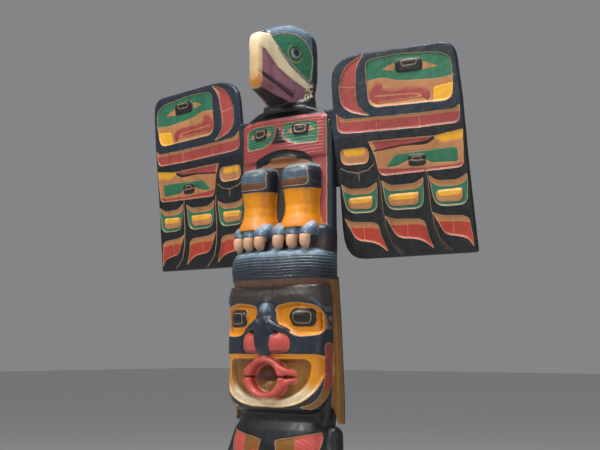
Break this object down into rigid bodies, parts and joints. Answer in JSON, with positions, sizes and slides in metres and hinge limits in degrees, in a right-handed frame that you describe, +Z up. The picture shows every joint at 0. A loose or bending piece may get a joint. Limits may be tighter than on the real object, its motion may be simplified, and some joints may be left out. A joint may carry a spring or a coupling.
{
  "type": "totem pole",
  "caption": "Carved and painted totem pole: a winged bird with a face on its chest perched on the hat of a round-mouthed figure, on a low base.",
  "frame": {"origin": "centre of the flat underside, on the log's axis", "axes": "+Z up, -Y the front, +X the viewer's right when looking at the front"},
  "size_m": [2.6376, 0.5792, 3.642],
  "materials": {
    "pole_wood": "satin",
    "wing_wood": "satin"
  },
  "bodies": {
    "root": {"pole": "pole_wood", "wing_left": "wing_wood", "wing_right": "wing_wood"}
  },
  "joints": []
}
